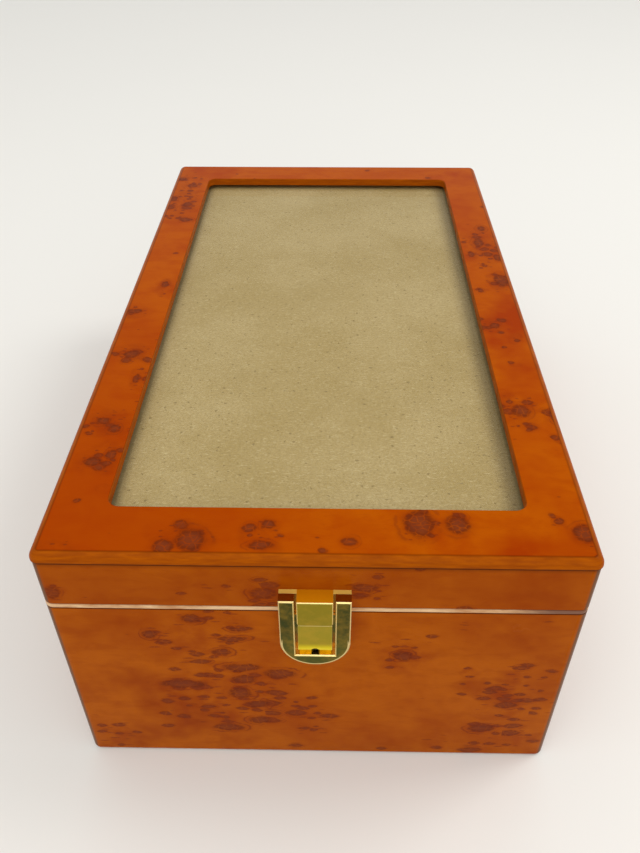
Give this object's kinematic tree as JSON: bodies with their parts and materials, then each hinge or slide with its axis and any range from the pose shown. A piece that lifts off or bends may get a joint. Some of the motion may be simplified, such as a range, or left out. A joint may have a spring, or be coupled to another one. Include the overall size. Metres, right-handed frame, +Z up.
{
  "type": "watch box",
  "caption": "Glazed burl-veneered wooden watch box with a hinged lid, a push-button catch, a lift-out cushioned tray and a lower compartment.",
  "frame": {"origin": "middle of the felt-covered underside, on the surface that the box stands on", "axes": "+Z up, +Y from the catch end towards the hinge end, +X to the right seen from the catch end"},
  "size_m": [0.2006, 0.3647, 0.1288],
  "materials": {
    "burl_veneer": "glossy orange-brown burl veneer under lacquer",
    "pale_edging": "pale eased wood edging",
    "plain_board": "plain fibreboard",
    "baize": "short dark nap",
    "lining_suede": "ivory suede cloth over board",
    "cushion_suede": "ivory suede cloth, padded",
    "clear_glass": "clear float glass",
    "tan_board": "raw tan fibreboard with fine specks",
    "black_card": "black card",
    "gold_plate": "polished gold plate",
    "dark_screw": "blackened steel",
    "spring_steel": "bright spring wire"
  },
  "bodies": {
    "base": {"base_back_wall": "burl_veneer", "base_bottom_panel": "plain_board", "base_felt": "baize", "base_floor_lining": "lining_suede", "base_front_wall": "burl_veneer", "base_left_wall": "burl_veneer", "base_lining_back": "lining_suede", "base_lining_front": "lining_suede", "base_lining_left": "lining_suede", "base_lining_right": "lining_suede", "base_right_wall": "burl_veneer", "base_rim_band": "pale_edging", "catch_housing": "gold_plate", "catch_housing_screw": "dark_screw", "hinge_base_screws": "gold_plate", "hinge_pins": "gold_plate", "left_hinge_base_leaf": "gold_plate", "lower_divider": "lining_suede", "right_hinge_base_leaf": "gold_plate", "tray_back_wall": "lining_suede", "tray_cross_dividers": "lining_suede", "tray_floor": "lining_suede", "tray_front_wall": "lining_suede", "tray_left_wall": "lining_suede", "tray_long_divider": "lining_suede", "tray_rest_back": "lining_suede", "tray_rest_front": "lining_suede", "tray_right_wall": "lining_suede", "watch_cushion_1": "cushion_suede", "watch_cushion_10": "cushion_suede", "watch_cushion_11": "cushion_suede", "watch_cushion_12": "cushion_suede", "watch_cushion_2": "cushion_suede", "watch_cushion_3": "cushion_suede", "watch_cushion_4": "cushion_suede", "watch_cushion_5": "cushion_suede", "watch_cushion_6": "cushion_suede", "watch_cushion_7": "cushion_suede", "watch_cushion_8": "cushion_suede", "watch_cushion_9": "cushion_suede"},
    "lid": {"catch_lid_plate": "gold_plate", "hinge_lid_screws": "gold_plate", "left_hinge_lid_leaf": "gold_plate", "lid_back_wall": "burl_veneer", "lid_backing_board": "tan_board", "lid_front_wall": "burl_veneer", "lid_glass": "clear_glass", "lid_left_wall": "burl_veneer", "lid_lining_panel": "lining_suede", "lid_retaining_strip_back": "lining_suede", "lid_retaining_strip_front": "lining_suede", "lid_retaining_strip_left": "lining_suede", "lid_retaining_strip_right": "lining_suede", "lid_right_wall": "burl_veneer", "lid_spacer_frame": "black_card", "lid_top_frame": "burl_veneer", "right_hinge_lid_leaf": "gold_plate"},
    "catch_button_body": {"catch_button": "gold_plate", "catch_spring": "spring_steel"}
  },
  "joints": [
    {"name": "lid_hinge", "type": "hinge", "parent": "base", "child": "lid", "pos_m": [0, 0.1788, 0.1022], "axis": [-1, 0, 0], "range_deg": [0, 95]},
    {"name": "catch_press", "type": "slide", "parent": "base", "child": "catch_button_body", "axis": [0, 1, 0], "range_m": [0, 0.0012], "stiffness_N_per_m": 800, "springref_m": -0.001}
  ]
}
